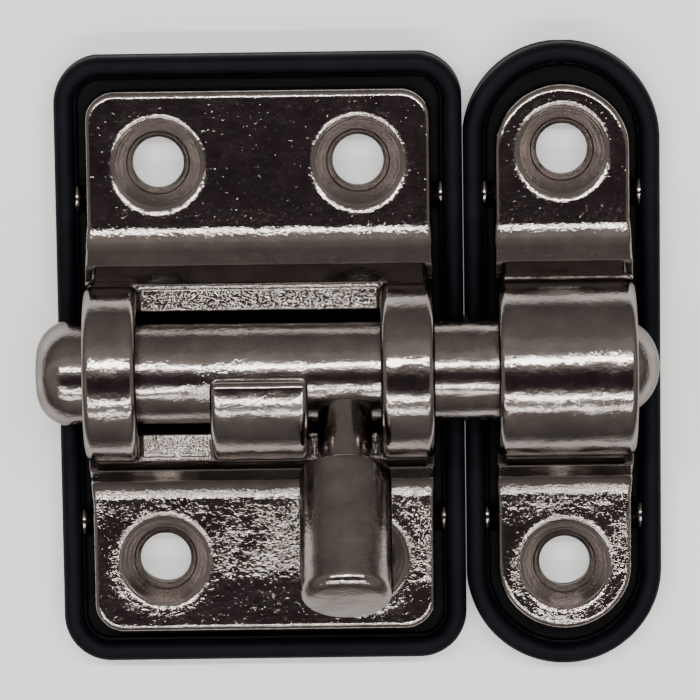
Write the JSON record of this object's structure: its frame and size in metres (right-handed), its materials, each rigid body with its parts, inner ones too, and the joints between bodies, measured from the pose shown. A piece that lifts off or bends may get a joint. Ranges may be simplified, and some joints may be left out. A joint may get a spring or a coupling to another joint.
{
  "type": "toggle bolt latch",
  "caption": "Surface latch: a round bolt with a swinging knob slides in a cast housing and locks into a separate cast keeper, both on rubber gaskets.",
  "frame": {"origin": "centre of the housing gasket's underside, where the latch lies on the door", "axes": "+X along the bolt towards the keeper, +Y up the mounting plates, +Z out from the door"},
  "size_m": [0.059, 0.0598, 0.0267],
  "materials": {
    "dark_nickel": "bright dark nickel plating over a slightly grainy zinc casting",
    "black_rubber": "moulded black rubber, satin"
  },
  "bodies": {
    "housing": {"housing": "dark_nickel", "housing_gasket": "black_rubber"},
    "bolt": {"bolt_rod": "dark_nickel", "knob_stem": "dark_nickel", "knob_head": "dark_nickel"},
    "keeper": {"keeper": "dark_nickel", "keeper_gasket": "black_rubber"}
  },
  "joints": [
    {"name": "knob_turn", "type": "hinge", "parent": "housing", "child": "bolt", "pos_m": [0, 0, 0.0096], "axis": [-1, 0, 0], "range_deg": [0, 108]},
    {"name": "keeper_spacing", "type": "slide", "parent": "housing", "child": "keeper", "axis": [1, 0, 0], "range_m": [0, 0.017]}
  ]
}
